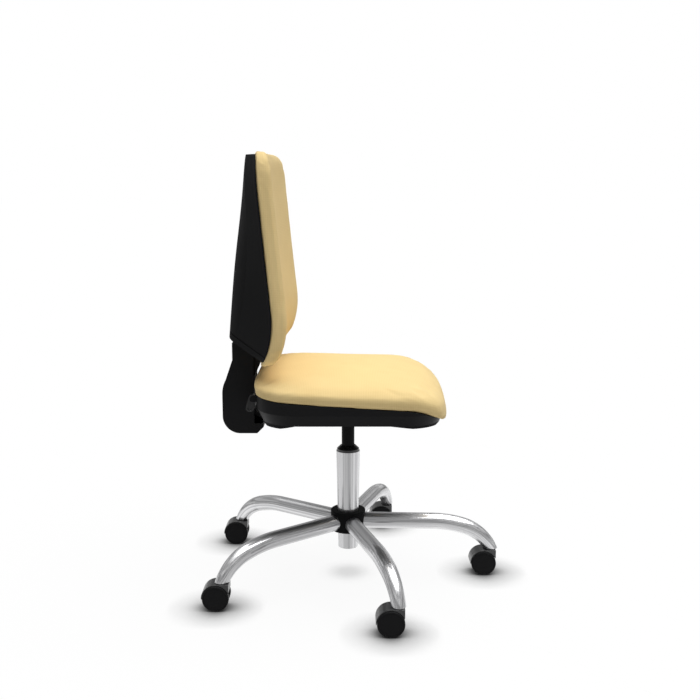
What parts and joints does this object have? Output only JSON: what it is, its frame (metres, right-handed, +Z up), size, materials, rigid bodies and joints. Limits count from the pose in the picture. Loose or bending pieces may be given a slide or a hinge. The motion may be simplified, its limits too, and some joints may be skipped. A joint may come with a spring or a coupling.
{
  "type": "office chair",
  "caption": "Swivel task chair without armrests: chromed tube star base on casters, gas lift, padded seat, reclining padded back in a black shell",
  "frame": {"origin": "on the floor, on the axis of the column that the seat swivels about", "axes": "+Z up, -Y the way the sitter faces, +X the sitter's left"},
  "size_m": [0.6508, 0.6375, 0.9296],
  "materials": {
    "chrome": "polished",
    "black_plastic": "fine grain",
    "caster_wheel": "satin",
    "black_metal": "powder coated",
    "steel": "bright",
    "plywood": "raw",
    "upholstery": "fine plain weave"
  },
  "bodies": {
    "base": {"hub": "black_plastic", "base_arm_1": "chrome", "base_arm_2": "chrome", "base_arm_3": "chrome", "base_arm_4": "chrome", "base_arm_5": "chrome", "stem_sockets": "black_plastic", "column_tube": "chrome", "guide_bush": "black_plastic", "thrust_bearing": "steel"},
    "gas_rod": {"gas_rod": "steel", "rod_clip": "steel"},
    "seat": {"gas_cylinder": "black_metal", "taper_socket": "steel", "mechanism_housing": "black_metal", "pivot_pin": "steel", "seat_bolts": "steel", "tilt_springs": "steel", "lever_pins": "steel", "seat_board": "plywood", "seat_cover": "black_plastic", "seat_cover_screws": "steel", "seat_cushion": "upholstery"},
    "valve_pin": {"valve_pin": "steel"},
    "height_lever": {"height_lever": "black_metal", "lever_grip": "black_plastic"},
    "tilt_paddle": {"tilt_paddle": "black_plastic"},
    "back_support": {"back_bar": "black_metal", "bar_cover_front": "black_plastic", "bar_cover_rear": "black_plastic"},
    "backrest": {"back_board": "plywood", "back_pad": "upholstery", "back_shell": "black_plastic", "height_carriage": "black_plastic", "back_screws": "steel"},
    "caster_1": {"caster_1_stem": "steel", "caster_1_hood": "black_plastic", "caster_1_axle": "steel"},
    "caster_1_wheel_left": {"caster_1_wheel_left": "caster_wheel"},
    "caster_1_wheel_right": {"caster_1_wheel_right": "caster_wheel"},
    "caster_2": {"caster_2_stem": "steel", "caster_2_hood": "black_plastic", "caster_2_axle": "steel"},
    "caster_2_wheel_left": {"caster_2_wheel_left": "caster_wheel"},
    "caster_2_wheel_right": {"caster_2_wheel_right": "caster_wheel"},
    "caster_3": {"caster_3_stem": "steel", "caster_3_hood": "black_plastic", "caster_3_axle": "steel"},
    "caster_3_wheel_left": {"caster_3_wheel_left": "caster_wheel"},
    "caster_3_wheel_right": {"caster_3_wheel_right": "caster_wheel"},
    "caster_4": {"caster_4_stem": "steel", "caster_4_hood": "black_plastic", "caster_4_axle": "steel"},
    "caster_4_wheel_left": {"caster_4_wheel_left": "caster_wheel"},
    "caster_4_wheel_right": {"caster_4_wheel_right": "caster_wheel"},
    "caster_5": {"caster_5_stem": "steel", "caster_5_hood": "black_plastic", "caster_5_axle": "steel"},
    "caster_5_wheel_left": {"caster_5_wheel_left": "caster_wheel"},
    "caster_5_wheel_right": {"caster_5_wheel_right": "caster_wheel"}
  },
  "joints": [
    {"name": "seat_swivel", "type": "hinge", "parent": "base", "child": "gas_rod", "pos_m": [0, 0, 0.08], "axis": [0, 0, 1], "continuous": true},
    {"name": "gas_lift", "type": "slide", "parent": "gas_rod", "child": "seat", "axis": [0, 0, 1], "range_m": [-0.04, 0.08]},
    {"name": "height_lever_press", "type": "hinge", "parent": "seat", "child": "height_lever", "pos_m": [0.048, 0, 0.38316], "axis": [0, -1, 0], "range_deg": [0, 3.5], "stiffness_Nm_per_rad": 3, "springref_deg": -5.73},
    {"name": "valve_press", "type": "slide", "parent": "seat", "child": "valve_pin", "axis": [0, 0, -1], "range_m": [0, 0.003]},
    {"name": "tilt_release", "type": "hinge", "parent": "seat", "child": "tilt_paddle", "pos_m": [-0.079, 0.2, 0.42036], "axis": [1, 0, 0], "range_deg": [0, 25], "stiffness_Nm_per_rad": 0.3, "springref_deg": -11.46},
    {"name": "back_recline", "type": "hinge", "parent": "seat", "child": "back_support", "pos_m": [0, 0.075, 0.37136], "axis": [-1, 0, 0], "range_deg": [0, 18], "stiffness_Nm_per_rad": 120, "springref_deg": -11.46},
    {"name": "back_height", "type": "slide", "parent": "back_support", "child": "backrest", "axis": [0, 0, 1], "range_m": [0, 0.06]},
    {"name": "caster_1_swivel", "type": "hinge", "parent": "base", "child": "caster_1", "pos_m": [0, -0.318, 0.0583], "axis": [0, 0, 1], "continuous": true},
    {"name": "caster_1_wheel_left_spin", "type": "hinge", "parent": "caster_1", "child": "caster_1_wheel_left", "pos_m": [0.0155, -0.3035, 0.0275], "axis": [1, 0, 0], "continuous": true},
    {"name": "caster_1_wheel_right_spin", "type": "hinge", "parent": "caster_1", "child": "caster_1_wheel_right", "pos_m": [-0.0155, -0.3035, 0.0275], "axis": [1, 0, 0], "continuous": true},
    {"name": "caster_2_swivel", "type": "hinge", "parent": "base", "child": "caster_2", "pos_m": [0.30244, -0.09827, 0.0583], "axis": [0, 0, 1], "continuous": true},
    {"name": "caster_2_wheel_left_spin", "type": "hinge", "parent": "caster_2", "child": "caster_2_wheel_left", "pos_m": [0.31794, -0.08377, 0.0275], "axis": [1, 0, 0], "continuous": true},
    {"name": "caster_2_wheel_right_spin", "type": "hinge", "parent": "caster_2", "child": "caster_2_wheel_right", "pos_m": [0.28694, -0.08377, 0.0275], "axis": [1, 0, 0], "continuous": true},
    {"name": "caster_3_swivel", "type": "hinge", "parent": "base", "child": "caster_3", "pos_m": [0.18692, 0.25727, 0.0583], "axis": [0, 0, 1], "continuous": true},
    {"name": "caster_3_wheel_left_spin", "type": "hinge", "parent": "caster_3", "child": "caster_3_wheel_left", "pos_m": [0.20242, 0.27177, 0.0275], "axis": [1, 0, 0], "continuous": true},
    {"name": "caster_3_wheel_right_spin", "type": "hinge", "parent": "caster_3", "child": "caster_3_wheel_right", "pos_m": [0.17142, 0.27177, 0.0275], "axis": [1, 0, 0], "continuous": true},
    {"name": "caster_4_swivel", "type": "hinge", "parent": "base", "child": "caster_4", "pos_m": [-0.18692, 0.25727, 0.0583], "axis": [0, 0, 1], "continuous": true},
    {"name": "caster_4_wheel_left_spin", "type": "hinge", "parent": "caster_4", "child": "caster_4_wheel_left", "pos_m": [-0.17142, 0.27177, 0.0275], "axis": [1, 0, 0], "continuous": true},
    {"name": "caster_4_wheel_right_spin", "type": "hinge", "parent": "caster_4", "child": "caster_4_wheel_right", "pos_m": [-0.20242, 0.27177, 0.0275], "axis": [1, 0, 0], "continuous": true},
    {"name": "caster_5_swivel", "type": "hinge", "parent": "base", "child": "caster_5", "pos_m": [-0.30244, -0.09827, 0.0583], "axis": [0, 0, 1], "continuous": true},
    {"name": "caster_5_wheel_left_spin", "type": "hinge", "parent": "caster_5", "child": "caster_5_wheel_left", "pos_m": [-0.28694, -0.08377, 0.0275], "axis": [1, 0, 0], "continuous": true},
    {"name": "caster_5_wheel_right_spin", "type": "hinge", "parent": "caster_5", "child": "caster_5_wheel_right", "pos_m": [-0.31794, -0.08377, 0.0275], "axis": [1, 0, 0], "continuous": true}
  ],
  "couplings": [
    {"joint": "valve_press", "follows": "height_lever_press", "m_per_rad": 0.048}
  ]
}
